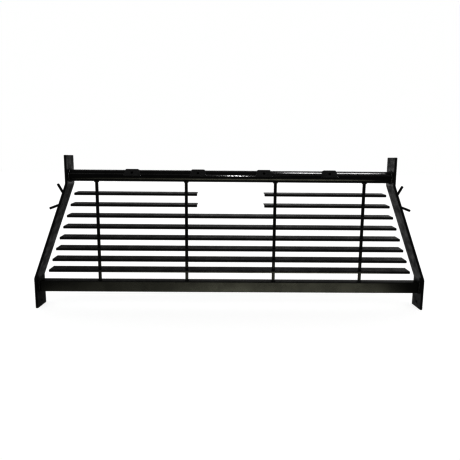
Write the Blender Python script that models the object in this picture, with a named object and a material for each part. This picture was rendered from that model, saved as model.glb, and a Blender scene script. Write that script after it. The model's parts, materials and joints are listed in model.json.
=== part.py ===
# A welded steel headache rack for a full-size pickup. Two bent flat bars stand on the bed rails,
# a round tube joins their horns, a rectangular tube joins their feet, and four round bars between
# those two carry a fence of louvres with a window for the brake light. Ropes are tied to bent
# rods on the uprights, and lights are bolted to small pads on the tube.
# Metres. +X runs along the rack, +Y points to the cab and -Y to the bed, +Z is up.
# The origin is the middle of the two feet, on the surface that they stand on.

import math

import bmesh
import bpy
from mathutils import Euler, Vector

# Overall
OVERALL_WIDTH = 1.790
OVERALL_HEIGHT = 0.701
GAP = 0.0003                  # left between pieces that are welded together

# Uprights: flat bar, bent the easy way
BAR_STOCK_THICKNESS = 0.0095
BAR_STOCK_DEPTH = 0.0762
BAR_STOCK_EDGE = 0.0008       # rolled edge radius
HORN_SPAN = 1.467             # outside to outside at the top
HORN_BEND_HEIGHT = 0.575
KNEE_HEIGHT = 0.140
UPRIGHT_BEND_RADIUS = 0.030
FOOT_HOLE_DIAMETER = 0.0111
FOOT_HOLE_HEIGHT = 0.025

# Top tube and bottom rail
TUBE_DIAMETER = 0.0508
TUBE_WALL = 0.0024
TUBE_HEIGHT = 0.6115          # its centre line above the feet
RAIL_HEIGHT = 0.0508
RAIL_DEPTH = 0.0381
RAIL_WALL = 0.0024
RAIL_CORNER = 0.0040
RAIL_BOTTOM = 0.0732

# Round bars
ROUND_BAR_DIAMETER = 0.0127
ROUND_BAR_SPACING = 0.405
ROUND_BAR_COUNT = 4

# Louvres: sheet with its rear edge folded down
LOUVRE_ROWS = 8
SPLIT_ROWS = 2                # the top rows that stop at the brake-light window
LOUVRE_PITCH = 0.0508
LOUVRE_TOP_LIP = 0.5247       # lower edge of the top row's lip
LOUVRE_DEPTH = 0.0508
LOUVRE_RISE = 0.0124          # from the lip's lower edge to the front edge's upper face
LOUVRE_SHEET = 0.0020
LOUVRE_LIP = 0.0085           # height of the folded lip
LOUVRE_FOLD_RADIUS = 0.0022
LOUVRE_END_GAP = 0.0425       # from a louvre's end to the upright
WINDOW_WIDTH = 0.304
BAR_CLEARANCE = 0.0003

# Rope cleats: one bent rod on each upright
CLEAT_ROD = 0.0095
CLEAT_HEIGHT = 0.500
CLEAT_RUN = 0.0496            # the stretch that lies on the upright
CLEAT_ARM = 0.0527
CLEAT_FLARE = math.radians(41)
CLEAT_BEND_RADIUS = 0.010

# Mounting pads on the top tube
PAD_COUNT = 4
PAD_SPACING = 0.294
PAD_TOP_WIDTH = 0.056
PAD_BASE_WIDTH = 0.076
PAD_HEIGHT = 0.035
PAD_THICKNESS = 0.005
PAD_CORNER = 0.005
PAD_TILT = math.radians(30)   # its face looks this far above level
PAD_HOLE_DIAMETER = 0.0105

DRILL_OVERRUN = 0.010         # how far a drill runs past the faces that it cuts

# Facets
TUBE_SIDES = 48
ROD_SIDES = 24
BEND_STEPS = 6
CORNER_STEPS = 3              # at a pad's corners
SHARP_ANGLE = math.radians(35)

# Finish: linear colour and roughness
COATINGS = {
    "upright": ((0.018, 0.018, 0.017), 0.38),
    "top_tube": ((0.015, 0.015, 0.014), 0.30),
    "bottom_rail": ((0.014, 0.014, 0.012), 0.36),
    "round_bar": ((0.010, 0.010, 0.010), 0.35),
    "louvre": ((0.016, 0.016, 0.015), 0.40),
    "cleat": ((0.012, 0.012, 0.012), 0.35),
    "mounting_pad": ((0.013, 0.013, 0.012), 0.34),
}

X_AXIS = Vector((1, 0, 0))
Y_AXIS = Vector((0, 1, 0))
Z_AXIS = Vector((0, 0, 1))


def clear_scene():
    for item in list(bpy.data.objects):
        bpy.data.objects.remove(item, do_unlink=True)


def coating(name):
    colour, roughness = COATINGS[name]
    material = bpy.data.materials.new(name)
    material.use_nodes = True
    shader = material.node_tree.nodes["Principled BSDF"]
    shader.inputs["Base Color"].default_value = (*colour, 1.0)
    shader.inputs["Roughness"].default_value = roughness
    shader.inputs["Metallic"].default_value = 0.0
    return material


def new_object(name, mesh, material, parent, smooth=True):
    if smooth:
        mesh.shade_smooth()
        mesh.set_sharp_from_angle(angle=SHARP_ANGLE)
    piece = bpy.data.objects.new(name, mesh)
    bpy.context.scene.collection.objects.link(piece)
    if not mesh.materials:
        mesh.materials.append(material)
    piece.parent = parent
    return piece


def circle(radius, sides):
    turns = [2 * math.pi * (side + 0.5) / sides for side in range(sides)]
    return [(radius * math.cos(turn), radius * math.sin(turn)) for turn in turns]


def rounded_rectangle(width, height, radius, steps=2):
    points = []
    for quarter in range(4):
        side_a = 1 if quarter in (0, 3) else -1
        side_b = 1 if quarter in (0, 1) else -1
        centre = Vector((side_a * (width / 2 - radius), side_b * (height / 2 - radius)))
        for step in range(steps + 1):
            turn = math.pi / 2 * (quarter + step / steps)
            points.append(tuple(centre + radius * Vector((math.cos(turn), math.sin(turn)))))
    return points


def filleted(corners, radius, steps=BEND_STEPS, closed=False):
    """Rounds the inner corners of an open run of points, or every corner of a closed one."""
    corners = [Vector(corner) for corner in corners]
    count = len(corners)
    rounded = [] if closed else [corners[0]]
    for index in range(count) if closed else range(1, count - 1):
        corner = corners[index]
        back = (corners[index - 1] - corner).normalized()
        ahead = (corners[(index + 1) % count] - corner).normalized()
        half = math.acos(max(-1.0, min(1.0, back.dot(ahead)))) / 2
        centre = corner + (back + ahead).normalized() * radius / math.sin(half)
        start = corner + back * radius / math.tan(half) - centre
        end = corner + ahead * radius / math.tan(half) - centre
        sweep_angle = math.pi - 2 * half
        for step in range(steps + 1):
            share = step / steps
            weight_a = math.sin((1 - share) * sweep_angle) / math.sin(sweep_angle)
            weight_b = math.sin(share * sweep_angle) / math.sin(sweep_angle)
            rounded.append(centre + start * weight_a + end * weight_b)
    return rounded if closed else rounded + [corners[-1]]


def mesh_from_rings(name, rings, capped=True):
    """Joins rings of equal length with quads, and closes the first and last or joins them."""
    body = bmesh.new()
    rows = [[body.verts.new(point) for point in ring] for ring in rings]
    pairs = list(zip(rows, rows[1:])) + ([] if capped else [(rows[-1], rows[0])])
    for row, following in pairs:
        for index in range(len(row)):
            after = (index + 1) % len(row)
            body.faces.new((row[index], row[after], following[after], following[index]))
    if capped:
        body.faces.new(rows[0])
        body.faces.new(rows[-1])
    bmesh.ops.recalc_face_normals(body, faces=body.faces)
    mesh = bpy.data.meshes.new(name)
    body.to_mesh(mesh)
    body.free()
    return mesh


def swept(name, path, section, along_u, along_v, across):
    """Carries a section along a flat path; the section is (offset in the plane, offset across)."""
    path = [Vector(point) for point in path]
    rings = []
    for index, point in enumerate(path):
        before = (point - path[index - 1]).normalized() if index else None
        ahead = (path[index + 1] - point).normalized() if index < len(path) - 1 else None
        heading = ((before or ahead) + (ahead or before)).normalized()
        stretch = 1 / heading.dot(ahead or before)
        normal = Vector((-heading.y, heading.x)) * stretch
        ring = []
        for inward, sideways in section:
            place = point + normal * inward
            ring.append(along_u * place.x + along_v * place.y + across * sideways)
        rings.append(ring)
    return mesh_from_rings(name, rings)


def hollow_bar(name, outer, inner, length):
    """A tube along X, open at both ends, between two loops with equal numbers of points."""
    ends = (-length / 2, length / 2)
    rings = [[Vector((end, *point)) for point in outer] for end in ends]
    rings += [[Vector((end, *point)) for point in inner] for end in reversed(ends)]
    return mesh_from_rings(name, rings, capped=False)


def cylinders(name, radius, places):
    """One cutter made of straight cylinders, each given as its two end centres."""
    body = bmesh.new()
    for start, end in places:
        start, end = Vector(start), Vector(end)
        turn = (end - start).to_track_quat("Z", "Y").to_matrix()
        rows = []
        for centre in (start, end):
            loop = [centre + turn @ Vector((*point, 0)) for point in circle(radius, ROD_SIDES)]
            rows.append([body.verts.new(point) for point in loop])
        for index in range(ROD_SIDES):
            after = (index + 1) % ROD_SIDES
            body.faces.new((rows[0][index], rows[0][after], rows[1][after], rows[1][index]))
        body.faces.new(list(reversed(rows[0])))
        body.faces.new(rows[1])
    mesh = bpy.data.meshes.new(name)
    body.to_mesh(mesh)
    body.free()
    cutter = bpy.data.objects.new(name, mesh)
    bpy.context.scene.collection.objects.link(cutter)
    cutter.hide_render = True
    cutter.display_type = "WIRE"
    return cutter


def cut(piece, cutter):
    modifier = piece.modifiers.new("cut_" + cutter.name, "BOOLEAN")
    modifier.operation = "DIFFERENCE"
    modifier.solver = "EXACT"
    modifier.object = cutter


def upright_corners(side):
    """Centre line of an upright in X and Z, from the foot to the top of the horn."""
    foot = side * (OVERALL_WIDTH - BAR_STOCK_THICKNESS) / 2
    horn = side * (HORN_SPAN - BAR_STOCK_THICKNESS) / 2
    return [(foot, 0), (foot, KNEE_HEIGHT), (horn, HORN_BEND_HEIGHT), (horn, OVERALL_HEIGHT)]


def lean_angle():
    """How far the middle of an upright leans in from vertical."""
    _, knee, bend, _ = upright_corners(1)
    return math.atan2(knee[0] - bend[0], bend[1] - knee[1])


def upright_outside(height):
    """X of the right upright's outer face where it leans."""
    _, knee, bend, _ = upright_corners(1)
    share = (height - knee[1]) / (bend[1] - knee[1])
    centre = knee[0] + share * (bend[0] - knee[0])
    return centre + BAR_STOCK_THICKNESS / 2 / math.cos(lean_angle())


def build_uprights(material, parent):
    section = rounded_rectangle(BAR_STOCK_THICKNESS, BAR_STOCK_DEPTH, BAR_STOCK_EDGE)
    inside = OVERALL_WIDTH / 2 - BAR_STOCK_THICKNESS - DRILL_OVERRUN
    outside = OVERALL_WIDTH / 2 + DRILL_OVERRUN
    holes = [((side * inside, 0, FOOT_HOLE_HEIGHT), (side * outside, 0, FOOT_HOLE_HEIGHT))
             for side in (-1, 1)]
    drill = cylinders("foot_hole_cutter", FOOT_HOLE_DIAMETER / 2, holes)
    for name, side in (("upright_left", -1), ("upright_right", 1)):
        path = filleted(upright_corners(side), UPRIGHT_BEND_RADIUS)
        mesh = swept(name, path, section, X_AXIS, Z_AXIS, Y_AXIS)
        cut(new_object(name, mesh, material, parent), drill)


def pad_places():
    middle = (PAD_COUNT - 1) / 2
    return [(index - middle) * PAD_SPACING for index in range(PAD_COUNT)]


def pad_normal():
    return Vector((0, -math.cos(PAD_TILT), math.sin(PAD_TILT)))


def build_top_tube(material, parent, drill):
    length = HORN_SPAN - 2 * BAR_STOCK_THICKNESS - 2 * GAP
    outer = circle(TUBE_DIAMETER / 2, TUBE_SIDES)
    inner = circle(TUBE_DIAMETER / 2 - TUBE_WALL, TUBE_SIDES)
    tube = new_object("top_tube", hollow_bar("top_tube", outer, inner, length), material, parent)
    tube.location.z = TUBE_HEIGHT
    cut(tube, drill)


def build_bottom_rail(material, parent):
    length = OVERALL_WIDTH - 2 * BAR_STOCK_THICKNESS - 2 * GAP
    outer = rounded_rectangle(RAIL_DEPTH, RAIL_HEIGHT, RAIL_CORNER)
    inner = rounded_rectangle(RAIL_DEPTH - 2 * RAIL_WALL, RAIL_HEIGHT - 2 * RAIL_WALL,
                              RAIL_CORNER - RAIL_WALL)
    mesh = hollow_bar("bottom_rail", outer, inner, length)
    rail = new_object("bottom_rail", mesh, material, parent)
    rail.location.z = RAIL_BOTTOM + RAIL_HEIGHT / 2


def bar_places():
    middle = (ROUND_BAR_COUNT - 1) / 2
    return [(index - middle) * ROUND_BAR_SPACING for index in range(ROUND_BAR_COUNT)]


def build_round_bars(material, parent):
    low = RAIL_BOTTOM + RAIL_HEIGHT + GAP
    high = TUBE_HEIGHT - TUBE_DIAMETER / 2 - GAP
    section = circle(ROUND_BAR_DIAMETER / 2, ROD_SIDES)
    mesh = swept("round_bar", [(0, low), (0, high)], section, X_AXIS, Z_AXIS, Y_AXIS)
    for number, place in enumerate(bar_places(), start=1):
        bar = new_object(f"bar_{number}", mesh, material, parent)
        bar.location.x = place


def louvre_profile():
    """Middle line of the sheet in Y and Z, from the lip's lower edge to the front edge."""
    back = -LOUVRE_DEPTH / 2 + LOUVRE_SHEET / 2
    front_height = LOUVRE_RISE - LOUVRE_SHEET / 2
    corners = [(back, 0), (back, LOUVRE_LIP), (LOUVRE_DEPTH / 2, front_height)]
    return filleted(corners, LOUVRE_FOLD_RADIUS)


def build_louvres(material, parent):
    reach = [(place, 0, RAIL_BOTTOM + RAIL_HEIGHT) for place in bar_places()]
    shafts = [(low, (low[0], 0, TUBE_HEIGHT)) for low in reach]
    clearance = cylinders("bar_clearance_cutter", ROUND_BAR_DIAMETER / 2 + BAR_CLEARANCE, shafts)
    for row in range(LOUVRE_ROWS):
        lip = LOUVRE_TOP_LIP - row * LOUVRE_PITCH
        inside = upright_outside(lip) - BAR_STOCK_THICKNESS / math.cos(lean_angle())
        tip = inside - LOUVRE_END_GAP
        if row < SPLIT_ROWS:
            spans = {f"louvre_{row + 1}_left": (-tip, -WINDOW_WIDTH / 2),
                     f"louvre_{row + 1}_right": (WINDOW_WIDTH / 2, tip)}
        else:
            spans = {f"louvre_{row + 1}": (-tip, tip)}
        for name, (low, high) in spans.items():
            half = LOUVRE_SHEET / 2
            section = [(-half, low), (-half, high), (half, high), (half, low)]
            mesh = swept(name, louvre_profile(), section, Y_AXIS, Z_AXIS, X_AXIS)
            louvre = new_object(name, mesh, material, parent)
            louvre.location.z = lip
            cut(louvre, clearance)


def build_cleats(material, parent):
    """Each cleat is drawn standing up, its run along Z and its arms to +X, then leaned over."""
    arm_out = CLEAT_ARM * math.cos(CLEAT_FLARE)
    arm_up = CLEAT_ARM * math.sin(CLEAT_FLARE)
    half = CLEAT_RUN / 2
    corners = [(arm_out, -half - arm_up), (0, -half), (0, half), (arm_out, half + arm_up)]
    path = filleted(corners, CLEAT_BEND_RADIUS)
    mesh = swept("cleat", path, circle(CLEAT_ROD / 2, ROD_SIDES), X_AXIS, Z_AXIS, Y_AXIS)
    off_face = CLEAT_ROD / 2 + GAP
    lean = lean_angle()
    face = Vector((upright_outside(CLEAT_HEIGHT), 0, CLEAT_HEIGHT))
    centre = face + off_face * Vector((math.cos(lean), 0, math.sin(lean)))
    for name, side in (("cleat_left", -1), ("cleat_right", 1)):
        cleat = new_object(name, mesh, material, parent)
        cleat.location = (side * centre.x, 0, centre.z)
        turn_about_z = 0 if side > 0 else math.pi
        cleat.rotation_euler = Euler((0, -lean, turn_about_z), "XYZ")


def build_pads(material, parent, drill):
    """Each pad is drawn flat, then tilted so that its back touches the tube."""
    half_height = PAD_HEIGHT / 2
    corners = [(-PAD_BASE_WIDTH / 2, -half_height), (PAD_BASE_WIDTH / 2, -half_height),
               (PAD_TOP_WIDTH / 2, half_height), (-PAD_TOP_WIDTH / 2, half_height)]
    outline = filleted(corners, PAD_CORNER, steps=CORNER_STEPS, closed=True)
    rings = [[Vector((*point, depth)) for point in outline] for depth in (0, PAD_THICKNESS)]
    mesh = mesh_from_rings("mounting_pad", rings)
    back = Vector((0, 0, TUBE_HEIGHT)) + pad_normal() * (TUBE_DIAMETER / 2 + GAP)
    for number, place in enumerate(pad_places(), start=1):
        pad = new_object(f"mounting_pad_{number}", mesh, material, parent)
        pad.location = (place, back.y, back.z)
        pad.rotation_euler = Euler((math.pi / 2 - PAD_TILT, 0, 0), "XYZ")
        cut(pad, drill)


def build_pad_drill():
    """Holes through each pad and the near wall of the tube behind it."""
    axis = Vector((0, 0, TUBE_HEIGHT))
    start = axis + pad_normal() * (TUBE_DIAMETER / 2 - TUBE_WALL - DRILL_OVERRUN)
    end = axis + pad_normal() * (TUBE_DIAMETER / 2 + GAP + PAD_THICKNESS + DRILL_OVERRUN)
    holes = [((place, start.y, start.z), (place, end.y, end.z)) for place in pad_places()]
    return cylinders("pad_hole_cutter", PAD_HOLE_DIAMETER / 2, holes)


def build_rack():
    clear_scene()
    rack = bpy.data.objects.new("rack", None)
    bpy.context.scene.collection.objects.link(rack)
    drill = build_pad_drill()
    build_uprights(coating("upright"), rack)
    build_top_tube(coating("top_tube"), rack, drill)
    build_bottom_rail(coating("bottom_rail"), rack)
    build_round_bars(coating("round_bar"), rack)
    build_louvres(coating("louvre"), rack)
    build_cleats(coating("cleat"), rack)
    build_pads(coating("mounting_pad"), rack, drill)


build_rack()
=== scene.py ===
# A welded steel headache rack in black powder coat, standing in a plain white studio.
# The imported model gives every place. The pieces here are its finished surfaces: bent flat bar,
# tube, rail, rods and louvres with rolled edges, the weld beads between them, and the coats.
# Metres. +X runs along the rack, -Y is the side that faces the bed, +Z is up.

import json
import math

import bmesh
import bpy
from mathutils import Euler, Matrix, Vector

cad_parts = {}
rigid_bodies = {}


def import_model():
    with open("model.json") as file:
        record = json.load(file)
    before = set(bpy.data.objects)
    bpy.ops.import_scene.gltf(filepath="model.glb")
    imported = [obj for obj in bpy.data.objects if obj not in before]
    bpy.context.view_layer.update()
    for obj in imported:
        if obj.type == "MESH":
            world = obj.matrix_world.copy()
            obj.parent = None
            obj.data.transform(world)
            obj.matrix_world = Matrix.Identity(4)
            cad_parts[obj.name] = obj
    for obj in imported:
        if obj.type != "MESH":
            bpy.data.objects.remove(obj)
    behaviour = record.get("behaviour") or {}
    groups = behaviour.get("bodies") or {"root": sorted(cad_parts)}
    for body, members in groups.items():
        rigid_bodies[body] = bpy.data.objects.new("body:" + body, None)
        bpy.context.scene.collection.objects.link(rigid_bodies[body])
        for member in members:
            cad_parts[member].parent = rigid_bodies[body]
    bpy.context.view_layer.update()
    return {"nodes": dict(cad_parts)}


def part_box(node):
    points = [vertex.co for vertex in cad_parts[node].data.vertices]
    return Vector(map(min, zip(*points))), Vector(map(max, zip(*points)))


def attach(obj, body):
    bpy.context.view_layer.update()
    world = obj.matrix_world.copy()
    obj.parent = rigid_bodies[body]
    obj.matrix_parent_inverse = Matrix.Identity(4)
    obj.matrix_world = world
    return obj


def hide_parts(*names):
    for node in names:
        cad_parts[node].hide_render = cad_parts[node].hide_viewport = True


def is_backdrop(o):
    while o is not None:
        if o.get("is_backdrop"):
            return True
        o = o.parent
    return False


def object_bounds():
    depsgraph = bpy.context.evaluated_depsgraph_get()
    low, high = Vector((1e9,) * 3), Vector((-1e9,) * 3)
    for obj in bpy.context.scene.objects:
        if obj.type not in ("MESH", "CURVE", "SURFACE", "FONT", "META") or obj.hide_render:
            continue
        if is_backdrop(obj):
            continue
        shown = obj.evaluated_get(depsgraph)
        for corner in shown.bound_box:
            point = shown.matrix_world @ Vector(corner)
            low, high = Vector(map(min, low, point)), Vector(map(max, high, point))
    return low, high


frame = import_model()
print("frame loaded:", len(frame["nodes"]), "nodes")

body = "root"


class Wire:
    # one output socket; arithmetic on it adds Math nodes
    def __init__(self, loom, socket):
        self.loom = loom
        self.socket = socket

    def figure(self, operation, first, second=None):
        sockets = {0: first}
        if second is not None:
            sockets[1] = second
        return self.loom.add("ShaderNodeMath", {"operation": operation}, sockets)

    def __add__(self, other):
        return self.figure("ADD", self, other)

    def __radd__(self, other):
        return self.figure("ADD", other, self)

    def __sub__(self, other):
        return self.figure("SUBTRACT", self, other)

    def __rsub__(self, other):
        return self.figure("SUBTRACT", other, self)

    def __mul__(self, other):
        return self.figure("MULTIPLY", self, other)

    def __rmul__(self, other):
        return self.figure("MULTIPLY", other, self)

    def __truediv__(self, other):
        return self.figure("DIVIDE", self, other)

    def __gt__(self, other):
        return self.figure("GREATER_THAN", self, other)

    def __lt__(self, other):
        return self.figure("LESS_THAN", self, other)

    def __abs__(self):
        return self.figure("ABSOLUTE", self)

    def also(self, output):
        return Wire(self.loom, self.socket.node.outputs[output])


class Loom:
    # adds nodes to one tree
    def __init__(self, tree):
        self.tree = tree

    def add(self, kind, settings=None, sockets=None, output=0):
        node = self.tree.nodes.new(kind)
        for name, value in (settings or {}).items():
            if name == "stops":
                ramp = node.color_ramp
                while len(ramp.elements) < len(value):
                    ramp.elements.new(0.5)
                for element, (place, colour) in zip(ramp.elements, value):
                    element.position = place
                    element.color = colour
            else:
                setattr(node, name, value)
        for key, value in (sockets or {}).items():
            for part in value if isinstance(value, list) else [value]:
                if isinstance(part, Wire):
                    self.tree.links.new(part.socket, node.inputs[key])
                else:
                    node.inputs[key].default_value = part
        return Wire(self, node.outputs[output]) if len(node.outputs) else None


def mixColours(loom, amount, first, second):
    return loom.add("ShaderNodeMix", {"data_type": "RGBA"}, {0: amount, 6: first, 7: second}, 2)


def newTree(name, inputs):
    # inputs: {name: socket type}; the first socket is always the geometry
    tree = bpy.data.node_groups.new(name, "GeometryNodeTree")
    tree.interface.new_socket("Geometry", in_out="INPUT", socket_type="NodeSocketGeometry")
    for label, kind in inputs.items():
        tree.interface.new_socket(label, in_out="INPUT", socket_type=kind)
    tree.interface.new_socket("Geometry", in_out="OUTPUT", socket_type="NodeSocketGeometry")
    loom = Loom(tree)
    return loom, loom.add("NodeGroupInput")


def endTree(loom, geometry, finish):
    whole = loom.add("GeometryNodeRealizeInstances", {}, {0: geometry})
    coated = loom.add("GeometryNodeSetMaterial", {}, {0: whole, 2: finish})
    loom.add("NodeGroupOutput", {}, {0: coated})
    return loom.tree


def addPiece(name, mesh, finish=None):
    piece = bpy.data.objects.new(name, mesh)
    bpy.context.scene.collection.objects.link(piece)
    if finish:
        mesh.materials.clear()
        mesh.materials.append(finish)
    return piece


def settle(piece):
    # keeps what the modifiers make and removes them
    depsgraph = bpy.context.evaluated_depsgraph_get()
    mesh = bpy.data.meshes.new_from_object(
        piece.evaluated_get(depsgraph), preserve_all_data_layers=True, depsgraph=depsgraph)
    piece.modifiers.clear()
    piece.data = mesh
    mesh.name = piece.name


def smoothOver(piece, sharpAngle=40, mergeDistance=1e-6):
    # closes seams, turns the faces out and keeps broad flats flat beside their rolled edges
    work = bmesh.new()
    work.from_mesh(piece.data)
    bmesh.ops.remove_doubles(work, verts=work.verts, dist=mergeDistance)
    bmesh.ops.recalc_face_normals(work, faces=work.faces)
    work.to_mesh(piece.data)
    work.free()
    piece.data.shade_smooth()
    piece.data.set_sharp_from_angle(angle=math.radians(sharpAngle))
    weighted = piece.modifiers.new("flats", "WEIGHTED_NORMAL")
    weighted.keep_sharp = True
    weighted.weight = 100
    settle(piece)


def growPiece(name, start, tree, values):
    # runs a Geometry Nodes tree on a start mesh and keeps the result as a plain mesh
    piece = addPiece(name, start)
    modifier = piece.modifiers.new("grow", "NODES")
    modifier.node_group = tree
    for item in tree.interface.items_tree:
        if item.in_out == "INPUT" and item.name in values:
            modifier[item.identifier] = values[item.name]
    settle(piece)
    return piece


def pathMesh(name, paths, attribute, values):
    # paths: lists of (points, closed); values: one number for each point of each path
    mesh = bpy.data.meshes.new(name)
    points, edges, flat = [], [], []
    for (path, closed), numbers in zip(paths, values):
        first = len(points)
        points += [tuple(point) for point in path]
        edges += [(first + step, first + step + 1) for step in range(len(path) - 1)]
        if closed:
            edges.append((first + len(path) - 1, first))
        flat += numbers
    mesh.from_pydata(points, edges, [])
    mesh.attributes.new(attribute, "FLOAT", "POINT").data.foreach_set("value", flat)
    return mesh


def circle(radius, sides):
    turns = [2 * math.pi * (side + 0.5) / sides for side in range(sides)]
    return [(radius * math.cos(turn), radius * math.sin(turn)) for turn in turns]


def roundedRectangle(width, height, radius, steps):
    points = []
    for quarter in range(4):
        signX = 1 if quarter in (0, 3) else -1
        signY = 1 if quarter in (0, 1) else -1
        centre = Vector((signX * (width / 2 - radius), signY * (height / 2 - radius)))
        for step in range(steps + 1):
            turn = math.pi / 2 * (quarter + step / steps)
            points.append(tuple(centre + radius * Vector((math.cos(turn), math.sin(turn)))))
    return points


def filleted(corners, radius, steps, closed=False):
    # rounds the inner corners of an open run of points, or every corner of a closed one
    corners = [Vector(corner) for corner in corners]
    count = len(corners)
    rounded = [] if closed else [corners[0]]
    for index in range(count) if closed else range(1, count - 1):
        corner = corners[index]
        back = (corners[index - 1] - corner).normalized()
        ahead = (corners[(index + 1) % count] - corner).normalized()
        half = math.acos(max(-1.0, min(1.0, back.dot(ahead)))) / 2
        centre = corner + (back + ahead).normalized() * radius / math.sin(half)
        start = corner + back * radius / math.tan(half) - centre
        end = corner + ahead * radius / math.tan(half) - centre
        turn = math.pi - 2 * half
        for step in range(steps + 1):
            share = step / steps
            fromStart = math.sin((1 - share) * turn) / math.sin(turn)
            fromEnd = math.sin(share * turn) / math.sin(turn)
            rounded.append(centre + start * fromStart + end * fromEnd)
    return rounded if closed else rounded + [corners[-1]]


def ringMesh(name, rings, capped=True):
    work = bmesh.new()
    rows = [[work.verts.new(point) for point in ring] for ring in rings]
    pairs = list(zip(rows, rows[1:])) + ([] if capped else [(rows[-1], rows[0])])
    for row, following in pairs:
        for index in range(len(row)):
            after = (index + 1) % len(row)
            work.faces.new((row[index], row[after], following[after], following[index]))
    if capped:
        work.faces.new(rows[0])
        work.faces.new(rows[-1])
    bmesh.ops.recalc_face_normals(work, faces=work.faces)
    mesh = bpy.data.meshes.new(name)
    work.to_mesh(mesh)
    work.free()
    return mesh


def turnedCutter(name, places, profile, sides=48):
    # one solid of revolution for each (centre, direction); profile: (distance, radius)
    work = bmesh.new()
    for centre, direction in places:
        turn = direction.to_track_quat("Z", "Y").to_matrix()
        rows = []
        for distance, radius in profile:
            loop = [centre + turn @ Vector((*point, distance)) for point in circle(radius, sides)]
            rows.append([work.verts.new(point) for point in loop])
        for row, following in zip(rows, rows[1:]):
            for index in range(sides):
                after = (index + 1) % sides
                work.faces.new((row[index], row[after], following[after], following[index]))
        work.faces.new(list(reversed(rows[0])))
        work.faces.new(rows[-1])
    mesh = bpy.data.meshes.new(name)
    work.to_mesh(mesh)
    work.free()
    return addPiece(name, mesh)


def cutAway(piece, cutter):
    modifier = piece.modifiers.new("cut", "BOOLEAN")
    modifier.operation = "DIFFERENCE"
    modifier.solver = "EXACT"
    modifier.object = cutter
    settle(piece)
    bpy.data.objects.remove(cutter, do_unlink=True)


def stand(piece, node=None):
    # hands a finished piece to the frame, in the place of its plain node if it has one
    if node:
        piece.name = node + "_finished"
        piece.data.name = piece.name
        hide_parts(node)
    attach(piece, body)


coats = {
    # tone: linear base colour; gloss and rough are the roughness range; wave is the unevenness
    # of the steel under the coat, peel is the grain of the coat itself, both in metres; sheen is
    # the most that the patchy top gloss reaches
    "upright": {"tone": (0.0125, 0.0125, 0.0122), "gloss": 0.24, "rough": 0.38,
                "wave": 0.0011, "waveSize": 24, "peel": 0.000035, "dust": 0.05, "sheen": 0.85},
    "tube": {"tone": (0.0115, 0.0115, 0.0108), "gloss": 0.13, "rough": 0.20,
             "wave": 0.00010, "waveSize": 14, "peel": 0.000014, "dust": 0.03, "sheen": 0.3},
    "rail": {"tone": (0.0115, 0.0115, 0.0095), "gloss": 0.22, "rough": 0.33,
             "wave": 0.00025, "waveSize": 9, "peel": 0.000022, "dust": 0.04, "sheen": 0.2},
    "bar": {"tone": (0.0085, 0.0085, 0.0085), "gloss": 0.20, "rough": 0.30,
            "wave": 0.00005, "waveSize": 20, "peel": 0.000020, "dust": 0.02, "sheen": 0.1},
    "louvre": {"tone": (0.0105, 0.0105, 0.0103), "gloss": 0.16, "rough": 0.25,
               "wave": 0.00030, "waveSize": 16, "peel": 0.000026, "dust": 0.05, "sheen": 0.4},
    "cleat": {"tone": (0.0085, 0.0085, 0.0085), "gloss": 0.28, "rough": 0.40,
              "wave": 0.00005, "waveSize": 30, "peel": 0.000025, "dust": 0.02, "sheen": 0.1},
    "pad": {"tone": (0.0095, 0.0095, 0.0095), "gloss": 0.26, "rough": 0.40,
            "wave": 0.00012, "waveSize": 40, "peel": 0.000025, "dust": 0.03, "sheen": 0.2},
    "weld": {"tone": (0.022, 0.022, 0.023), "gloss": 0.10, "rough": 0.26,
             "wave": 0.00040, "waveSize": 160, "peel": 0.000050, "dust": 0.02, "sheen": 1.0},
}

# what every coat has in common; the sizes are noise scales, in cells for each metre
coating = {
    "cloudSize": 5.5,
    "speckSize": 900,
    "grainSize": 420,
    "patchShare": 0.65,         # the rest of the roughness follows the clouds
    "grainRoughness": 0.05,
    "flowSize": 1.3,            # of the waves under the coat
    "flowRange": (0.38, 0.62),  # from no top gloss to all of it
    "topRoughness": 0.22,
    "bendOfLight": 1.5,
    "dustColour": (0.10, 0.096, 0.086, 1),
    "dustSlope": 0.55,          # dust lies where the surface faces up by more than this
    "leastDust": 0.3,
    "speckRarity": 0.72,
    "speckShare": 0.6,
    "dustRoughness": 0.25,
    "toneSpread": 0.25,
}


def noise(loom, place, size, detail, roughness):
    return loom.add("ShaderNodeTexNoise", {}, {
        "Vector": place, "Scale": size, "Detail": detail, "Roughness": roughness})


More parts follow.
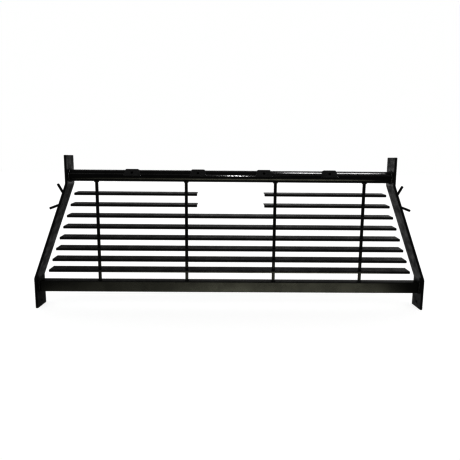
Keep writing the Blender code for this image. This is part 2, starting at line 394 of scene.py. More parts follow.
def powderCoat(name, recipe):
    material = bpy.data.materials.new(name + "_coat")
    material.use_nodes = True
    material.node_tree.nodes.clear()
    loom = Loom(material.node_tree)
    place = loom.add("ShaderNodeTexCoord", {}, {}, "Object")

    # the coat lies thicker here and thinner there
    patches = noise(loom, place, recipe["waveSize"], 4, 0.55)
    clouds = noise(loom, place, coating["cloudSize"], 2, 0.5)
    specks = noise(loom, place, coating["speckSize"], 1, 0.5)
    grain = noise(loom, place, coating["grainSize"], 2, 0.6)

    gloss = recipe["gloss"]
    spread = recipe["rough"] - gloss
    share = coating["patchShare"]
    roughness = (gloss + spread * (share * patches + (1 - share) * clouds)
                 + coating["grainRoughness"] * (grain - 0.5))

    # the coat flowed glossier in some patches than in others
    least, most = coating["flowRange"]
    flowed = loom.add("ShaderNodeMapRange", {}, {
        "Value": noise(loom, place, coating["flowSize"] * recipe["waveSize"], 3, 0.6),
        "From Min": least, "From Max": most, "To Min": 0.0, "To Max": recipe["sheen"]})

    # a little dust lies on what faces up
    facing = loom.add("ShaderNodeNewGeometry", {}, {}, "Normal")
    upward = loom.add("ShaderNodeSeparateXYZ", {}, {0: facing}, "Z")
    settled = loom.add("ShaderNodeMapRange", {}, {
        "Value": upward, "From Min": coating["dustSlope"], "From Max": 1.0,
        "To Min": 0.0, "To Max": 1.0})
    speckled = coating["speckShare"] * recipe["dust"] * (specks > coating["speckRarity"])
    dust = settled * recipe["dust"] * (coating["leastDust"] + clouds) + speckled

    tone = Vector(recipe["tone"])
    vary = coating["toneSpread"]
    deep = mixColours(loom, patches, (*(tone * (1 - vary)), 1), (*(tone * (1 + vary)), 1))
    colour = mixColours(loom, dust, deep, coating["dustColour"])

    relief = recipe["wave"] * patches + recipe["peel"] * grain
    bump = loom.add("ShaderNodeBump", {}, {"Strength": 1.0, "Distance": 1.0, "Height": relief})
    shader = loom.add("ShaderNodeBsdfPrincipled", {}, {
        "Base Color": colour, "Roughness": roughness + coating["dustRoughness"] * dust,
        "Metallic": 0.0, "IOR": coating["bendOfLight"], "Coat Weight": flowed,
        "Coat Roughness": coating["topRoughness"], "Coat IOR": coating["bendOfLight"],
        "Normal": bump})
    loom.add("ShaderNodeOutputMaterial", {}, {"Surface": shader})
    return material


coatOf = {name: powderCoat(name, recipe) for name, recipe in coats.items()}
print("coats mixed:", len(coatOf))


upright = {
    "thickness": 0.0095,
    "kneeHeight": 0.140,
    "hornBendHeight": 0.575,
    "bendRadius": 0.030,
    "bendSteps": 20,
    "rolledEdge": 0.0011,
    "edgeSteps": 4,
    "sawnEdge": 0.0005,         # the deburred edge of the cut ends
    "sawnSteps": 3,
    "holeDiameter": 0.0111,
    "holeHeight": 0.025,
    "holeChamfer": 0.0006,
}


def uprightLine(side):
    # centre line in X and Z, from the foot to the top of the horn
    low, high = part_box("upright_right")
    half = upright["thickness"] / 2
    foot = side * (high.x - half)
    horn = side * (low.x + half)
    return [Vector((foot, low.z)), Vector((foot, upright["kneeHeight"])),
            Vector((horn, upright["hornBendHeight"])), Vector((horn, high.z))]


def quarterRound(radius, steps):
    # (inset, depth) from the face of a rounded edge down to its side
    turns = [math.pi / 2 * step / steps for step in range(steps + 1)]
    return [(radius * (1 - math.sin(turn)), radius * (1 - math.cos(turn))) for turn in turns]


def sweptBar(name, path, section, endRadius, depthMiddle):
    # carries a section along a flat path in XZ; section(inset) gives (offset, offset in Y)
    rounding = quarterRound(endRadius, upright["sawnSteps"])
    stations = []
    firstStep = (path[1] - path[0]).normalized()
    lastStep = (path[-1] - path[-2]).normalized()
    for inset, ahead in rounding:
        stations.append((path[0] + firstStep * ahead, firstStep, 1, inset))
    for index in range(1, len(path) - 1):
        before = (path[index] - path[index - 1]).normalized()
        after = (path[index + 1] - path[index]).normalized()
        heading = (before + after).normalized()
        stations.append((path[index], heading, 1 / heading.dot(after), 0))
    for inset, ahead in reversed(rounding):
        stations.append((path[-1] - lastStep * ahead, lastStep, 1, inset))
    rings = []
    for point, heading, stretch, inset in stations:
        sideways = Vector((-heading.y, heading.x)) * stretch
        ring = []
        for offset, across in section(inset):
            spot = point + sideways * offset
            ring.append(Vector((spot.x, depthMiddle + across, spot.y)))
        rings.append(ring)
    return ringMesh(name, rings)


def buildUpright(name, side):
    low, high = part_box(name)
    depth = high.y - low.y

    def section(inset):
        return roundedRectangle(upright["thickness"] - 2 * inset, depth - 2 * inset,
                                upright["rolledEdge"] - inset / 2, upright["edgeSteps"])

    path = filleted(uprightLine(side), upright["bendRadius"], upright["bendSteps"])
    mesh = sweptBar(name, path, section, upright["sawnEdge"], (low.y + high.y) / 2)
    piece = addPiece(name, mesh, coatOf["upright"])
    radius = upright["holeDiameter"] / 2
    chamfer = upright["holeChamfer"]
    halfWay = upright["thickness"] / 2
    profile = [(-halfWay - chamfer, radius + 2 * chamfer), (-halfWay + chamfer, radius),
               (halfWay - chamfer, radius), (halfWay + chamfer, radius + 2 * chamfer)]
    centre = Vector((uprightLine(side)[0].x, 0, upright["holeHeight"]))
    cutAway(piece, turnedCutter(name + "_drill", [(centre, Vector((1, 0, 0)))], profile))
    smoothOver(piece)
    stand(piece, name)


for nodeName, whichSide in (("upright_left", -1), ("upright_right", 1)):
    buildUpright(nodeName, whichSide)
print("uprights bent")


tube = {
    "wall": 0.0024,
    "sides": 128,
}
pad = {
    "names": ["mounting_pad_1", "mounting_pad_2", "mounting_pad_3", "mounting_pad_4"],
    "topWidth": 0.056,
    "baseWidth": 0.076,
    "height": 0.035,
    "thickness": 0.005,
    "corner": 0.005,
    "cornerSteps": 8,
    "edge": 0.0009,
    "edgeSteps": 4,
    "tilt": math.radians(30),   # the face looks this far above level
    "gap": 0.0003,
    "hole": 0.0105,
    "holeChamfer": 0.0005,
}

tubeLow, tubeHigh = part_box("top_tube")
tubeMiddle = (tubeLow + tubeHigh) / 2
tubeRadius = (tubeHigh.z - tubeLow.z) / 2
padNormal = Vector((0, -math.cos(pad["tilt"]), math.sin(pad["tilt"])))
padTurn = Matrix.Rotation(math.pi / 2 - pad["tilt"], 3, "X")


def padPlace(name):
    # the middle of a pad's back, off the tube by the gap
    low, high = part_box(name)
    back = padNormal * (tubeRadius + pad["gap"])
    return Vector(((low.x + high.x) / 2, tubeMiddle.y + back.y, tubeMiddle.z + back.z))


def hollowBar(name, outer, inner, low, high, middle):
    # along X, open at both ends; outer and inner are (y, z) loops with equal counts
    rings = []
    for loop, ends in ((outer, (low, high)), (inner, (high, low))):
        for end in ends:
            rings.append([Vector((end, middle.y + y, middle.z + z)) for y, z in loop])
    return ringMesh(name, rings, capped=False)


def buildTube():
    outer = circle(tubeRadius, tube["sides"])
    inner = circle(tubeRadius - tube["wall"], tube["sides"])
    mesh = hollowBar("top_tube", outer, inner, tubeLow.x, tubeHigh.x, tubeMiddle)
    piece = addPiece("top_tube", mesh, coatOf["tube"])
    radius = pad["hole"] / 2
    places = [(padPlace(name), padNormal) for name in pad["names"]]
    profile = [(-tubeRadius / 2, radius), (pad["thickness"], radius)]
    cutAway(piece, turnedCutter("tube_drill", places, profile))
    smoothOver(piece)
    stand(piece, "top_tube")


def buildPad(name):
    # drawn flat with rolled edges, then tilted so that its back touches the tube
    half = pad["height"] / 2
    corners = [(-pad["baseWidth"] / 2, -half), (pad["baseWidth"] / 2, -half),
               (pad["topWidth"] / 2, half), (-pad["topWidth"] / 2, half)]
    outline = filleted(corners, pad["corner"], pad["cornerSteps"], closed=True)
    stations = [(depth, inset) for inset, depth in quarterRound(pad["edge"], pad["edgeSteps"])]
    stations += [(pad["thickness"] - depth, inset) for depth, inset in reversed(stations)]
    rings = []
    for depth, inset in stations:
        ring = []
        for index, point in enumerate(outline):
            before = outline[index - 1]
            after = outline[(index + 1) % len(outline)]
            along = (after - before).normalized()
            inward = Vector((-along.y, along.x))
            spot = point + inward * inset
            ring.append(padPlace(name) + padTurn @ Vector((spot.x, spot.y, depth)))
        rings.append(ring)
    piece = addPiece(name, ringMesh(name, rings), coatOf["pad"])
    radius = pad["hole"] / 2
    chamfer = pad["holeChamfer"]
    thick = pad["thickness"]
    profile = [(-chamfer, radius + 2 * chamfer), (chamfer, radius),
               (thick - chamfer, radius), (thick + chamfer, radius + 2 * chamfer)]
    cutAway(piece, turnedCutter(name + "_drill", [(padPlace(name), padNormal)], profile))
    smoothOver(piece)
    stand(piece, name)


buildTube()
for nodeName in pad["names"]:
    buildPad(nodeName)
print("top tube and pads made")


rail = {
    "wall": 0.0024,
    "corner": 0.0040,
    "cornerSteps": 8,
}
railLow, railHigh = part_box("bottom_rail")
railMiddle = (railLow + railHigh) / 2


def railLoop(inset):
    depth = railHigh.y - railLow.y - 2 * inset
    height = railHigh.z - railLow.z - 2 * inset
    return roundedRectangle(depth, height, rail["corner"] - inset, rail["cornerSteps"])


railMesh = hollowBar("bottom_rail", railLoop(0), railLoop(rail["wall"]), railLow.x, railHigh.x,
                     railMiddle)
railPiece = addPiece("bottom_rail", railMesh, coatOf["rail"])
smoothOver(railPiece)
stand(railPiece, "bottom_rail")
print("bottom rail made")


# round rods: the four bars and the two rope cleats
rod = {
    "chamfer": 0.0006,
    "sides": 40,
    "bendSteps": 12,
}


def rodTree():
    # sweeps a round section along the start mesh and bends its corners
    loom, given = newTree("rod", {
        "Radius": "NodeSocketFloat", "Bend Radius": "NodeSocketFloat",
        "Bend Steps": "NodeSocketInt", "Sides": "NodeSocketInt",
        "End Scale": "NodeSocketFloat", "Finish": "NodeSocketMaterial"})
    line = loom.add("GeometryNodeMeshToCurve", {}, {0: given})
    isBend = loom.add("GeometryNodeInputNamedAttribute", {"data_type": "FLOAT"}, {0: "bend"})
    bent = loom.add("GeometryNodeFilletCurve", {"mode": "POLY"}, {
        0: line, 1: given.also("Bend Steps"), 2: given.also("Bend Radius") * isBend})
    along = loom.add("GeometryNodeSplineParameter")
    isEnd = (along < 0.00001) + (along > 0.99999)
    scale = given.also("Radius") * (1 - isEnd * (1 - given.also("End Scale")))
    section = loom.add("GeometryNodeCurvePrimitiveCircle", {}, {
        "Resolution": given.also("Sides"), "Radius": 1.0})
    swept = loom.add("GeometryNodeCurveToMesh", {}, {
        "Curve": bent, "Profile Curve": section, "Scale": scale, "Fill Caps": True})
    smooth = loom.add("GeometryNodeSetShadeSmooth", {}, {0: swept})
    return endTree(loom, smooth, given.also("Finish"))


rods = rodTree()


def rodPiece(name, corners, radius, bendRadius, finish):
    # a short step in from each end carries the chamfer
    chamfer = rod["chamfer"]
    head = (corners[1] - corners[0]).normalized() * chamfer
    tail = (corners[-2] - corners[-1]).normalized() * chamfer
    path = [corners[0], corners[0] + head, *corners[1:-1], corners[-1] + tail, corners[-1]]
    bends = [0.0, 0.0] + [1.0] * (len(corners) - 2) + [0.0, 0.0]
    start = pathMesh(name, [(path, False)], "bend", [bends])
    piece = growPiece(name, start, rods, {
        "Radius": radius, "Bend Radius": bendRadius, "Bend Steps": rod["bendSteps"],
        "Sides": rod["sides"], "End Scale": 1 - chamfer / radius, "Finish": finish})
    smoothOver(piece)
    stand(piece, name)


barNames = ["bar_1", "bar_2", "bar_3", "bar_4"]
barRadius = (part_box("bar_1")[1].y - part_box("bar_1")[0].y) / 2


def barCentre(name):
    low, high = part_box(name)
    return (low.x + high.x) / 2


for nodeName in barNames:
    barLow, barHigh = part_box(nodeName)
    foot = Vector((barCentre(nodeName), 0, barLow.z))
    head = Vector((barCentre(nodeName), 0, barHigh.z))
    rodPiece(nodeName, [foot, head], barRadius, 0.0, coatOf["bar"])

cleat = {
    "rodRadius": 0.00475,
    "height": 0.500,
    "run": 0.0496,
    "arm": 0.0527,
    "flare": math.radians(41),
    "bendRadius": 0.010,
    "gap": 0.0003,
}


def uprightLean():
    knee, bend = uprightLine(1)[1:3]
    return math.atan2(knee.x - bend.x, bend.y - knee.y)


def uprightFace(height):
    # X of the right upright's outer face where it leans
    knee, bend = uprightLine(1)[1:3]
    share = (height - knee.y) / (bend.y - knee.y)
    centre = knee.x + share * (bend.x - knee.x)
    return centre + upright["thickness"] / 2 / math.cos(uprightLean())


def cleatFrame(side):
    # the middle of the cleat's run, the way out from the upright and the way up along it
    lean = uprightLean()
    outward = Vector((math.cos(lean), 0, math.sin(lean)))
    upward = Vector((-math.sin(lean), 0, math.cos(lean)))
    face = Vector((uprightFace(cleat["height"]), 0, cleat["height"]))
    centre = face + outward * (cleat["rodRadius"] + cleat["gap"])
    mirror = Matrix.Diagonal((side, 1, 1))
    return mirror @ centre, mirror @ outward, mirror @ upward


for nodeName, whichSide in (("cleat_left", -1), ("cleat_right", 1)):
    centre, outward, upward = cleatFrame(whichSide)
    armOut = cleat["arm"] * math.cos(cleat["flare"])
    armUp = cleat["arm"] * math.sin(cleat["flare"])
    half = cleat["run"] / 2
    corners = [centre + outward * armOut - upward * (half + armUp), centre - upward * half,
               centre + upward * half, centre + outward * armOut + upward * (half + armUp)]
    rodPiece(nodeName, corners, cleat["rodRadius"], cleat["bendRadius"], coatOf["cleat"])
print("bars and cleats made")


louvre = {
    "depth": 0.0508,
    "rise": 0.0124,             # from the lip's lower edge to the front edge's upper face
    "sheet": 0.0020,
    "lip": 0.0085,
    "foldRadius": 0.0022,
    "shearedEdge": 0.0005,
    "roundSteps": 6,
    "holeClearance": 0.0003,
    "holeSides": 40,
    "drillLength": 0.06,
}


def louvreOutline():
    # closed outline of the folded sheet in (Y, Z) with the rounding of each corner
    depth = louvre["depth"]
    half = louvre["sheet"] / 2
    line = [Vector((-depth / 2 + half, 0)),
            Vector((-depth / 2 + half, louvre["lip"])),
            Vector((depth / 2, louvre["rise"] - half))]
    firstNormal = (line[1] - line[0]).orthogonal().normalized()
    if firstNormal.x > 0:
        firstNormal = -firstNormal
    secondNormal = (line[2] - line[1]).orthogonal().normalized()
    if secondNormal.y < 0:
        secondNormal = -secondNormal
    foldNormal = (firstNormal + secondNormal).normalized()
    reach = half / foldNormal.dot(secondNormal)
    top = [line[0] + firstNormal * half, line[1] + foldNormal * reach,
           line[2] + secondNormal * half]
    under = [line[2] - secondNormal * half, line[1] - foldNormal * reach,
             line[0] - firstNormal * half]
    edge = louvre["shearedEdge"]
    fold = louvre["foldRadius"]
    rounding = [edge, fold + half, edge, edge, fold - half, edge]
    return top + under, rounding


def louvreTree():
    # fills the outline, draws it out along the rack and drills it for the bars
    loom, given = newTree("louvre", {
        "Start": "NodeSocketFloat", "Length": "NodeSocketFloat", "Lip Height": "NodeSocketFloat",
        "Round Steps": "NodeSocketInt", "Hole Radius": "NodeSocketFloat",
        "First Hole": "NodeSocketFloat", "Hole Spacing": "NodeSocketFloat",
        "Hole Count": "NodeSocketInt", "Hole Sides": "NodeSocketInt",
        "Drill Length": "NodeSocketFloat", "Finish": "NodeSocketMaterial"})
    outline = loom.add("GeometryNodeMeshToCurve", {}, {0: given})
    rounding = loom.add("GeometryNodeInputNamedAttribute", {"data_type": "FLOAT"},
                        {0: "rounding"})
    rounded = loom.add("GeometryNodeFilletCurve", {"mode": "POLY"}, {
        0: outline, 1: given.also("Round Steps"), 2: rounding})
    face = loom.add("GeometryNodeFillCurve", {"mode": "NGONS"}, {0: rounded})
    upward = loom.add("ShaderNodeCombineXYZ", {}, {2: 1.0})
    drawn = loom.add("GeometryNodeExtrudeMesh", {"mode": "FACES"}, {
        0: face, 2: upward, 3: given.also("Length"), 4: False})
    back = loom.add("GeometryNodeFlipFaces", {}, {0: face})
    solid = loom.add("GeometryNodeJoinGeometry", {}, {0: [drawn, back]})
    closed = loom.add("GeometryNodeMergeByDistance", {}, {0: solid, 2: 0.000001})
    spot = loom.add("ShaderNodeCombineXYZ", {}, {0: given.also("Start"),
                                                 2: given.also("Lip Height")})
    placed = loom.add("GeometryNodeTransform", {}, {
        0: closed, 1: spot, 2: Euler((math.pi / 2, 0, math.pi / 2))})
    first = loom.add("ShaderNodeCombineXYZ", {}, {0: given.also("First Hole"),
                                                  2: given.also("Lip Height")})
    step = loom.add("ShaderNodeCombineXYZ", {}, {0: given.also("Hole Spacing")})
    holes = loom.add("GeometryNodeMeshLine", {}, {
        "Count": given.also("Hole Count"), "Start Location": first, "Offset": step})
    drill = loom.add("GeometryNodeMeshCylinder", {}, {
        "Vertices": given.also("Hole Sides"), "Radius": given.also("Hole Radius"),
        "Depth": given.also("Drill Length")})
    drills = loom.add("GeometryNodeInstanceOnPoints", {}, {0: holes, 2: drill})
    cutters = loom.add("GeometryNodeRealizeInstances", {}, {0: drills})
    drilled = loom.add("GeometryNodeMeshBoolean",
                       {"operation": "DIFFERENCE", "solver": "EXACT"},
                       {0: placed, 1: cutters})
    return endTree(loom, drilled, given.also("Finish"))


louvres = louvreTree()
louvreNames = sorted(name for name in frame["nodes"] if name.startswith("louvre"))
for nodeName in louvreNames:
    low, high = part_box(nodeName)
    outline, rounding = louvreOutline()
    flat = [Vector((*point, 0)) for point in outline]
    start = pathMesh(nodeName, [(flat, True)], "rounding", [rounding])
    within = [barCentre(name) for name in barNames if low.x < barCentre(name) < high.x]
    piece = growPiece(nodeName, start, louvres, {
        "Start": low.x, "Length": high.x - low.x, "Lip Height": low.z,
        "Round Steps": louvre["roundSteps"],
        "Hole Radius": barRadius + louvre["holeClearance"], "First Hole": min(within),
        "Hole Spacing": barCentre("bar_2") - barCentre("bar_1"), "Hole Count": len(within),
        "Hole Sides": louvre["holeSides"], "Drill Length": louvre["drillLength"],
        "Finish": coatOf["louvre"]})
    smoothOver(piece)
    stand(piece, nodeName)
print("louvres folded:", len(louvreNames))


bead = {
    "ripplePitch": 0.0024,
    "rippleHeight": 0.16,       # of the bead's radius
    "wobble": 0.30,             # slow change of its width, of its radius
    "wobbleSize": 90,
    "step": 0.0006,
    "sides": 10,
    "seed": 4.0,
    "sharpAngle": 60,
    # radius of the beads at each kind of joint
    "tube": 0.0034,
    "rail": 0.0030,
    "bar": 0.0026,
    "louvre": 0.0016,
    "cleat": 0.0024,
    "pad": 0.0021,
    # how far a bead's middle stands off the two faces that it joins, of its radius
    "standOff": 0.35,
    "spread": 0.30,
    "barStandOff": 0.45,
    "louvreStandOff": 0.55,
    "louvreLift": 0.25,
    "headSize": 1.15,           # the saddles under the tube, of the bar beads
    "tubeRingPoints": 72,
    "barRingPoints": 40,
    "louvreRingPoints": 32,
}
cleatBead = {
    "steps": 8,
    "margin": 0.002,            # bare length at each end of the run
    "taper": 0.55,
}
padBead = {
    "steps": 12,
    "reach": 0.86,              # of the pad's height
    "bite": 0.0008,             # how far it lies inside the pad's side
    "depth": 0.45,              # of the gap between the pad's back and the tube
    "swell": 0.32,              # radius gained, of that gap
}


def beadTree():
    # a round bead along each path, with the overlapping ripples that a weld pool leaves
    loom, given = newTree("bead", {
        "Ripple Pitch": "NodeSocketFloat", "Ripple Height": "NodeSocketFloat",
        "Wobble": "NodeSocketFloat", "Wobble Size": "NodeSocketFloat",
        "Step": "NodeSocketFloat", "Sides": "NodeSocketInt", "Seed": "NodeSocketFloat",
        "Finish": "NodeSocketMaterial"})
    line = loom.add("GeometryNodeMeshToCurve", {}, {0: given})
    size = loom.add("GeometryNodeInputNamedAttribute", {"data_type": "FLOAT"}, {0: "size"})
    fine = loom.add("GeometryNodeResampleCurve", {"mode": "LENGTH"}, {
        0: line, 3: given.also("Step")})
    travelled = loom.add("GeometryNodeSplineParameter", {}, {}, "Length")
    phase = travelled / given.also("Ripple Pitch")
    wave = abs(loom.add("ShaderNodeMath", {"operation": "SINE"}, {0: phase * math.pi}))
    drift = loom.add("ShaderNodeTexNoise", {"noise_dimensions": "4D"}, {
        "Vector": loom.add("GeometryNodeInputPosition"), "W": given.also("Seed"),
        "Scale": given.also("Wobble Size"), "Detail": 2.0})
    ripple = 1 + given.also("Ripple Height") * (wave - 0.5)
    width = ripple + given.also("Wobble") * (drift - 0.5)
    section = loom.add("GeometryNodeCurvePrimitiveCircle", {}, {
        "Resolution": given.also("Sides"), "Radius": 1.0})
    swept = loom.add("GeometryNodeCurveToMesh", {}, {
        "Curve": fine, "Profile Curve": section, "Scale": size * width, "Fill Caps": True})
    smooth = loom.add("GeometryNodeSetShadeSmooth", {}, {0: swept})
    return endTree(loom, smooth, given.also("Finish"))


beads = beadTree()


def layBeads(name, runs):
    # runs: (path, sizes), a path being (points, closed)
    start = pathMesh(name, [path for path, sizes in runs], "size", [sizes for path, sizes in runs])
    piece = growPiece(name, start, beads, {
        "Ripple Pitch": bead["ripplePitch"], "Ripple Height": bead["rippleHeight"],
        "Wobble": bead["wobble"], "Wobble Size": bead["wobbleSize"], "Step": bead["step"],
        "Sides": bead["sides"], "Seed": bead["seed"], "Finish": coatOf["weld"]})
    smoothOver(piece, bead["sharpAngle"])
    stand(piece)
    print(name, "laid:", len(runs), "beads")


def ring(points, size):
    return (points, True), [size] * len(points)


def layEndRings(name, inside, loop, middle, size):
    # one closed bead round a bar's outline on each upright's inner face
    x = inside - size * bead["standOff"]
    layBeads(name, [
        ring([Vector((side * x, middle.y + y, middle.z + z)) for y, z in loop], size)
        for side in (-1, 1)])


def layBarBeads():
    # a ring on the rail and a saddle on the tube for each bar
    size = bead["bar"]
    around = circle(barRadius + size * bead["barStandOff"], bead["barRingPoints"])
    feet, heads = [], []
    for name in barNames:
        x = barCentre(name)
        footRing, saddle = [], []
        for a, b in around:
            footRing.append(Vector((x + a, b, railHigh.z + size * bead["spread"])))
            underside = tubeMiddle.z - math.sqrt(tubeRadius ** 2 - b ** 2)
            saddle.append(Vector((x + a, b, underside - size * bead["barStandOff"])))
        feet.append(ring(footRing, size))
        heads.append(ring(saddle, size * bead["headSize"]))
    layBeads("weld_bar_feet", feet)
    layBeads("weld_bar_heads", heads)


def layLouvreBeads():
    # a small ring where each bar comes out of the upper face of each louvre
    size = bead["louvre"]
    around = circle(barRadius + size * bead["louvreStandOff"], bead["louvreRingPoints"])
    outline, rounding = louvreOutline()
    fold, front = outline[1], outline[2]
    slope = (front.y - fold.y) / (front.x - fold.x)
    runs = []
    for name in louvreNames:
        low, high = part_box(name)
        for x in [barCentre(bar) for bar in barNames if low.x < barCentre(bar) < high.x]:
            points = []
            for a, b in around:
                surface = low.z + fold.y + slope * (b - fold.x)
                points.append(Vector((x + a, b, surface + size * bead["louvreLift"])))
            runs.append(ring(points, size))
    layBeads("weld_louvres", runs)


def layCleatBeads():
    # one bead down each side of the run, thinner at its two ends
    size = bead["cleat"]
    steps = cleatBead["steps"]
    sunk = cleat["rodRadius"] + cleat["gap"] - size * bead["standOff"]
    beside = cleat["rodRadius"] + size * bead["standOff"]
    reach = cleat["run"] / 2 - cleatBead["margin"]
    sizes = [size] * (steps + 1)
    sizes[0] = sizes[-1] = size * cleatBead["taper"]
    runs = []
    for side in (-1, 1):
        centre, outward, upward = cleatFrame(side)
        for across in (-1, 1):
            seam = centre - outward * sunk + Vector((0, across * beside, 0))
            path = [seam + upward * reach * (2 * step / steps - 1) for step in range(steps + 1)]
            runs.append(((path, False), sizes))
    layBeads("weld_cleats", runs)


def layPadBeads():
    # a bead between each slanted side and the tube, thicker where the tube curves away
    steps = padBead["steps"]
    narrowing = pad["topWidth"] - pad["baseWidth"]
    runs = []
    for name in pad["names"]:
        for side in (-1, 1):
            path, sizes = [], []
            for step in range(steps + 1):
                share = (step / steps - 0.5) * padBead["reach"]
                height = pad["height"] * share
                halfWidth = (pad["baseWidth"] + narrowing * (share + 0.5)) / 2
                gap = tubeRadius - math.sqrt(tubeRadius ** 2 - height ** 2)
                spot = Vector((side * (halfWidth - padBead["bite"]), height,
                               -gap * padBead["depth"]))
                path.append(padPlace(name) + padTurn @ spot)
                sizes.append(bead["pad"] + gap * padBead["swell"])
            runs.append(((path, False), sizes))
    layBeads("weld_pads", runs)


halfUpright = upright["thickness"] / 2
layEndRings("weld_tube_ends", uprightLine(1)[-1].x - halfUpright,
            circle(tubeRadius + bead["tube"] * bead["spread"], bead["tubeRingPoints"]),
            tubeMiddle, bead["tube"])
layEndRings("weld_rail_ends", uprightLine(1)[0].x - halfUpright,
            railLoop(-bead["rail"] * bead["spread"]), railMiddle, bead["rail"])
layBarBeads()
layLouvreBeads()
layCleatBeads()
layPadBeads()


studio = {
    "skyLight": 1.25,
    "skySeen": 1.0,
    "printGamma": 0.45,         # a contrasty print: blacks deep, edges crisp
    "floorSize": 30,
    "floorGlow": 0.88,          # a lit table: only a faint shadow shows on it
    "floorShade": 0.13,
    "floorRoughness": 0.9,
    "domeRadius": 9,
    "domeBase": 0.32,
    # az: from +Y towards +X; el: above level; spread: degrees; light: radiance
    "lobes": [
        {"az": 0, "el": 4, "spread": 22, "light": 0.38},
        {"az": 8, "el": 9, "spread": 12, "light": 0.28},
        {"az": 40, "el": 16, "spread": 12, "light": 0.75},
        {"az": 25, "el": -3.5, "spread": 6, "light": 2.9},
        {"az": -25, "el": -3.5, "spread": 6, "light": 4.6},
        {"az": 0, "el": 88, "spread": 26, "light": 0.4},
        {"az": -15, "el": -26, "spread": 18, "light": 0.62},
        {"az": 92, "el": 8, "spread": 20, "light": 1.5},
        {"az": -92, "el": 8, "spread": 20, "light": 1.5},
    ],
    # a thin line of light all round the walls
    "band": {"el": 38.5, "spread": 2.5, "light": 4.0},
}


def onlyGlossy(item):
    item.visible_camera = False
    item.visible_diffuse = False
    item.visible_transmission = False
    item.visible_volume_scatter = False
    item.visible_shadow = False


def shineOnly(item, starts):
    # light linking: only the pieces whose names start so reflect this lamp or paper
    lit = bpy.data.collections.new(item.name + "_shines_on")
    for piece in bpy.context.scene.objects:
        if piece.type == "MESH" and piece.name.startswith(tuple(starts)):
            lit.objects.link(piece)
    item.light_linking.receiver_collection = lit


def bearing(azimuth, elevation):
    turn, tilt = math.radians(azimuth), math.radians(elevation)
    return Vector((math.sin(turn) * math.cos(tilt), math.cos(turn) * math.cos(tilt),
                   math.sin(tilt)))


def emitter(name):
    material = bpy.data.materials.new(name)
    material.use_nodes = True
    material.node_tree.nodes.clear()
    material.cycles.emission_sampling = "NONE"
    return material, Loom(material.node_tree)


def buildDome():
    work = bmesh.new()
    bmesh.ops.create_uvsphere(work, u_segments=48, v_segments=24, radius=studio["domeRadius"])
    bmesh.ops.reverse_faces(work, faces=work.faces)
    mesh = bpy.data.meshes.new("studio_dome")
    work.to_mesh(mesh)
    work.free()
    mesh.shade_smooth()
    material, loom = emitter("studio_walls")
    place = loom.add("ShaderNodeTexCoord", {}, {}, "Object")
    heading = loom.add("ShaderNodeVectorMath", {"operation": "NORMALIZE"}, {0: place})
    light = studio["domeBase"]
    for lobe in studio["lobes"]:
        aim = bearing(lobe["az"], lobe["el"])
        match = loom.add("ShaderNodeVectorMath", {"operation": "DOT_PRODUCT"},
                         {0: heading, 1: aim}, "Value")
        sharpness = 1 / (1 - math.cos(math.radians(lobe["spread"])))
        amount = loom.add("ShaderNodeMath", {"operation": "EXPONENT"},
                          {0: (match - 1) * sharpness})
        light = light + lobe["light"] * amount
    band = studio["band"]
    height = loom.add("ShaderNodeSeparateXYZ", {}, {0: heading}, "Z")
    offBand = (height - math.sin(math.radians(band["el"]))) / math.radians(band["spread"])
    light = light + band["light"] * loom.add("ShaderNodeMath", {"operation": "EXPONENT"},
                                             {0: 0 - offBand * offBand})
    shine = loom.add("ShaderNodeEmission", {}, {"Color": (1, 1, 1, 1), "Strength": light})
    loom.add("ShaderNodeOutputMaterial", {}, {"Surface": shine})
    dome = addPiece("studio_dome", mesh, material)
    onlyGlossy(dome)
    dome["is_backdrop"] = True


def plane(name, low, high, height, material):
    mesh = bpy.data.meshes.new(name)
    corners = [(low[0], low[1], height), (high[0], low[1], height),
               (high[0], high[1], height), (low[0], high[1], height)]
    mesh.from_pydata(corners, [], [(0, 1, 2, 3)])
    piece = addPiece(name, mesh, material)
    piece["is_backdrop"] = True
    return piece


def buildFloor():
    material = bpy.data.materials.new("white_floor")
    material.use_nodes = True
    shader = material.node_tree.nodes["Principled BSDF"]
    shader.inputs["Base Color"].default_value = (*[studio["floorShade"]] * 3, 1)
    shader.inputs["Roughness"].default_value = studio["floorRoughness"]
    shader.inputs["Specular IOR Level"].default_value = 0.0
    shader.inputs["Emission Color"].default_value = (1, 1, 1, 1)
    shader.inputs["Emission Strength"].default_value = studio["floorGlow"]
    half = studio["floorSize"] / 2
    floor = plane("studio_floor", (-half, -half), (half, half), 0.0, material)
    floor.visible_glossy = False


# lit strips of paper on the floor before the rack, which only the coat reflects;
# stops: (share of the way from left to right, radiance)
papers = [
    {"name": "paper_at_the_rail", "left": -1.02, "right": 0.98, "near": -0.33, "far": -0.12,
     "stops": [(0.0, 0.0), (0.05, 2.6), (0.25, 3.4), (0.43, 5.3), (0.515, 7.8), (0.60, 6.2),
               (0.70, 6.0), (0.90, 5.6), (1.0, 0.0)]},
    {"name": "paper_further_out", "left": -1.02, "right": 0.98, "near": -0.66, "far": -0.29,
     "stops": [(0.0, 0.0), (0.12, 2.2), (0.25, 3.2), (0.40, 3.8), (0.60, 5.4), (0.72, 5.8),
               (0.90, 4.8), (1.0, 0.0)]},
]
paperLook = {"tint": (1.0, 1.0, 0.86), "softEdge": 0.05, "height": 0.001,
             "shinesOn": ["top_tube", "bottom_rail", "bar", "louvre", "mounting_pad", "weld"]}


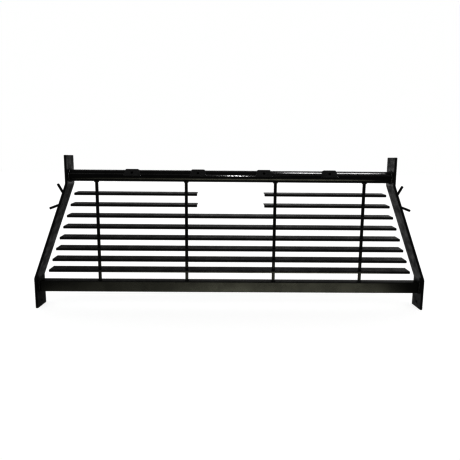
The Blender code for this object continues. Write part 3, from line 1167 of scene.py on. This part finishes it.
def buildPaper(paper):
    material, loom = emitter(paper["name"])
    place = loom.add("ShaderNodeTexCoord", {}, {}, "Object")
    across = loom.add("ShaderNodeSeparateXYZ", {}, {0: place}, "X")
    along = (across - paper["left"]) / (paper["right"] - paper["left"])
    brightest = max(light for _, light in paper["stops"])
    stops = [(share, (*[light / brightest] * 3, 1)) for share, light in paper["stops"]]
    level = loom.add("ShaderNodeValToRGB", {"stops": stops}, {0: along})
    tinted = loom.add("ShaderNodeVectorMath", {"operation": "MULTIPLY"},
                      {0: level, 1: paperLook["tint"]})
    edge = paperLook["softEdge"]
    nearFade = loom.add("ShaderNodeMapRange", {}, {
        "Value": across.also("Y"), "From Min": paper["near"], "From Max": paper["near"] + edge})
    farFade = loom.add("ShaderNodeMapRange", {}, {
        "Value": across.also("Y"), "From Min": paper["far"], "From Max": paper["far"] - edge})
    shine = loom.add("ShaderNodeEmission", {}, {
        "Color": tinted, "Strength": brightest * nearFade * farFade})
    loom.add("ShaderNodeOutputMaterial", {}, {"Surface": shine})
    strip = plane(paper["name"], (paper["left"], paper["near"]), (paper["right"], paper["far"]),
                  paperLook["height"], material)
    onlyGlossy(strip)
    shineOnly(strip, paperLook["shinesOn"])


def buildWorld():
    world = bpy.data.worlds.new("white_room")
    bpy.context.scene.world = world
    world.use_nodes = True
    world.node_tree.nodes.clear()
    loom = Loom(world.node_tree)
    seen = loom.add("ShaderNodeLightPath", {}, {}, "Is Camera Ray")
    strength = studio["skyLight"] + seen * (studio["skySeen"] - studio["skyLight"])
    backdrop = loom.add("ShaderNodeBackground", {}, {"Color": (1, 1, 1, 1), "Strength": strength})
    loom.add("ShaderNodeOutputWorld", {}, {"Surface": backdrop})
    world.cycles_visibility.glossy = False
    settings = bpy.context.scene.view_settings
    settings.view_transform = "Standard"
    settings.gamma = studio["printGamma"]


# light: radiance; shinesOn: how the names of the pieces that reflect the lamp begin
lamps = [
    # a small lamp in front, above eye height
    {"name": "key_lamp", "place": (0.06, -1.85, 1.00), "aim": (0.03, 0, 0.60),
     "size": (0.10, 0.06), "light": 850, "shinesOn": ["top_tube"]},
    # a box overhead on the right
    {"name": "overhead_box", "place": (1.02, -0.08, 2.60), "aim": (1.02, -0.08, 0.60),
     "size": (0.96, 1.20), "light": 17, "shinesOn": ["top_tube"]},
    # boxes at both sides for the weld beads
    {"name": "side_box_right", "place": (1.90, 0.15, 1.25), "aim": (-0.20, 0, 0.60),
     "size": (0.70, 0.50), "light": 75, "shinesOn": ["weld"]},
    {"name": "side_box_left", "place": (-1.90, 0.15, 1.25), "aim": (0.20, 0, 0.60),
     "size": (0.70, 0.50), "light": 30, "shinesOn": ["weld"]},
    # a broad soft ceiling for all but the tube and the beads
    {"name": "ceiling_box", "place": (0, 0.4, 3.20), "aim": (0, 0.4, 0),
     "size": (6.0, 4.4), "light": 1.6,
     "shinesOn": ["louvre", "upright", "bottom_rail", "bar", "cleat", "mounting_pad"]},
]


def buildLamps():
    for lamp in lamps:
        light = bpy.data.lights.new(lamp["name"], "AREA")
        light.shape = "RECTANGLE"
        light.size, light.size_y = lamp["size"]
        light.energy = lamp["light"] * math.pi * lamp["size"][0] * lamp["size"][1]
        holder = bpy.data.objects.new(lamp["name"], light)
        bpy.context.scene.collection.objects.link(holder)
        holder.location = lamp["place"]
        holder.rotation_euler = (Vector(lamp["aim"]) - Vector(lamp["place"])).to_track_quat(
            "-Z", "Y").to_euler()
        onlyGlossy(holder)
        shineOnly(holder, lamp["shinesOn"])


buildWorld()
buildFloor()
for strip in papers:
    buildPaper(strip)
buildDome()
buildLamps()
print("studio lit")


viewpoint = {
    "place": (-0.0168, -1.6508, 0.6893),
    "lens": 28.46,
    "sensor": 36,
    "shiftY": -0.0554,
    "pitchDown": 7.117,         # degrees
    "yawRight": 0.475,
    "roll": 0.469,
}
cameraData = bpy.data.cameras.new("camera")
cameraData.lens = viewpoint["lens"]
cameraData.sensor_width = viewpoint["sensor"]
cameraData.shift_y = viewpoint["shiftY"]
camera = bpy.data.objects.new("camera", cameraData)
bpy.context.scene.collection.objects.link(camera)
camera.matrix_world = (
    Matrix.Translation(viewpoint["place"])
    @ Matrix.Rotation(-math.radians(viewpoint["yawRight"]), 4, "Z")
    @ Matrix.Rotation(math.radians(90 - viewpoint["pitchDown"]), 4, "X")
    @ Matrix.Rotation(math.radians(viewpoint["roll"]), 4, "Z"))
bpy.context.scene.camera = camera
print("camera set")

low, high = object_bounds()
